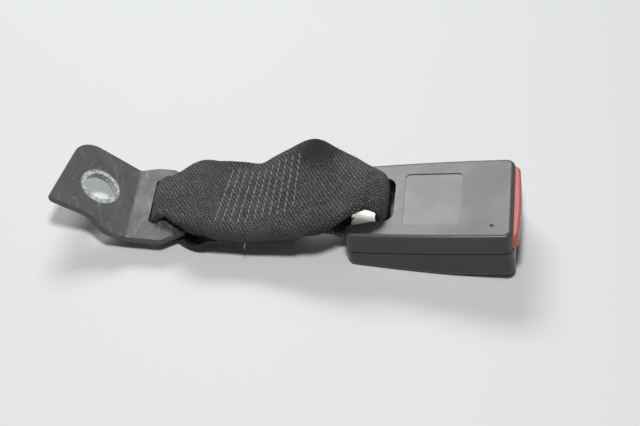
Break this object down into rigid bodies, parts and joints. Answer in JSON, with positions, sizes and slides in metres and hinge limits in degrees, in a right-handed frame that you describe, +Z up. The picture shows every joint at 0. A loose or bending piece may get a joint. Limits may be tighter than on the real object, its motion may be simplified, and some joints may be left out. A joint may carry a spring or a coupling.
{
  "type": "seat belt buckle",
  "caption": "Rear-seat belt buckle with an end-press release button, on a short sewn webbing strap with a bent bolt-down anchor plate.",
  "frame": {"origin": "on the table, under the middle of the whole object's bounding box", "axes": "+X along the strap towards the release button, +Y across the webbing, +Z up with the back cover up"},
  "size_m": [0.207, 0.0482, 0.0326],
  "materials": {
    "back_cover": "satin black moulded plastic",
    "front_cover": "satin black moulded plastic",
    "release_button": "red moulded plastic",
    "ejector": "natural acetal",
    "tongue_guide": "black moulded plastic",
    "bright_steel": "zinc-plated steel",
    "spring_steel": "spring steel",
    "anchor_plate": "black electrophoretic paint, worn at the bolt hole",
    "webbing": "woven black polyester"
  },
  "bodies": {
    "anchor": {"anchor_plate": "anchor_plate"},
    "strap": {"webbing": "webbing"},
    "housing": {"back_cover": "back_cover", "front_cover": "front_cover", "buckle_frame": "bright_steel", "latch_pivot_pin": "bright_steel", "tongue_guide": "tongue_guide", "button_spring_left": "spring_steel", "button_spring_right": "spring_steel", "ejector_spring": "spring_steel", "latch_spring": "spring_steel"},
    "button": {"release_button": "release_button"},
    "latch": {"latch_plate": "bright_steel"},
    "ejector": {"ejector": "ejector"}
  },
  "joints": [
    {"name": "anchor_fold", "type": "hinge", "parent": "anchor", "child": "strap", "pos_m": [-0.05281, 0, 0.0075], "axis": [0, 1, 0], "range_deg": [-20, 20]},
    {"name": "frame_fold", "type": "hinge", "parent": "strap", "child": "housing", "pos_m": [0.03919, 0, 0.0105], "axis": [0, 1, 0], "range_deg": [-7, 10]},
    {"name": "button_press", "type": "slide", "parent": "housing", "child": "button", "axis": [-0.991, 0, -0.134], "range_m": [0, 0.0045], "stiffness_N_per_m": 900, "springref_m": -0.006, "deforming": ["button_spring_left", "button_spring_right"]},
    {"name": "latch_release", "type": "hinge", "parent": "housing", "child": "latch", "pos_m": [0.08953, 0, 0.00751], "axis": [0, -1, 0], "range_deg": [0, 14.51], "stiffness_Nm_per_rad": 0.02, "springref_deg": -17.19, "deforming": ["latch_spring"]},
    {"name": "ejector_slide", "type": "slide", "parent": "housing", "child": "ejector", "axis": [-0.991, 0, -0.134], "range_m": [0, 0.0075], "stiffness_N_per_m": 300, "springref_m": -0.006, "deforming": ["ejector_spring"]}
  ],
  "couplings": [
    {"joint": "latch_release", "follows": "button_press", "rad_per_m": 56.238}
  ]
}
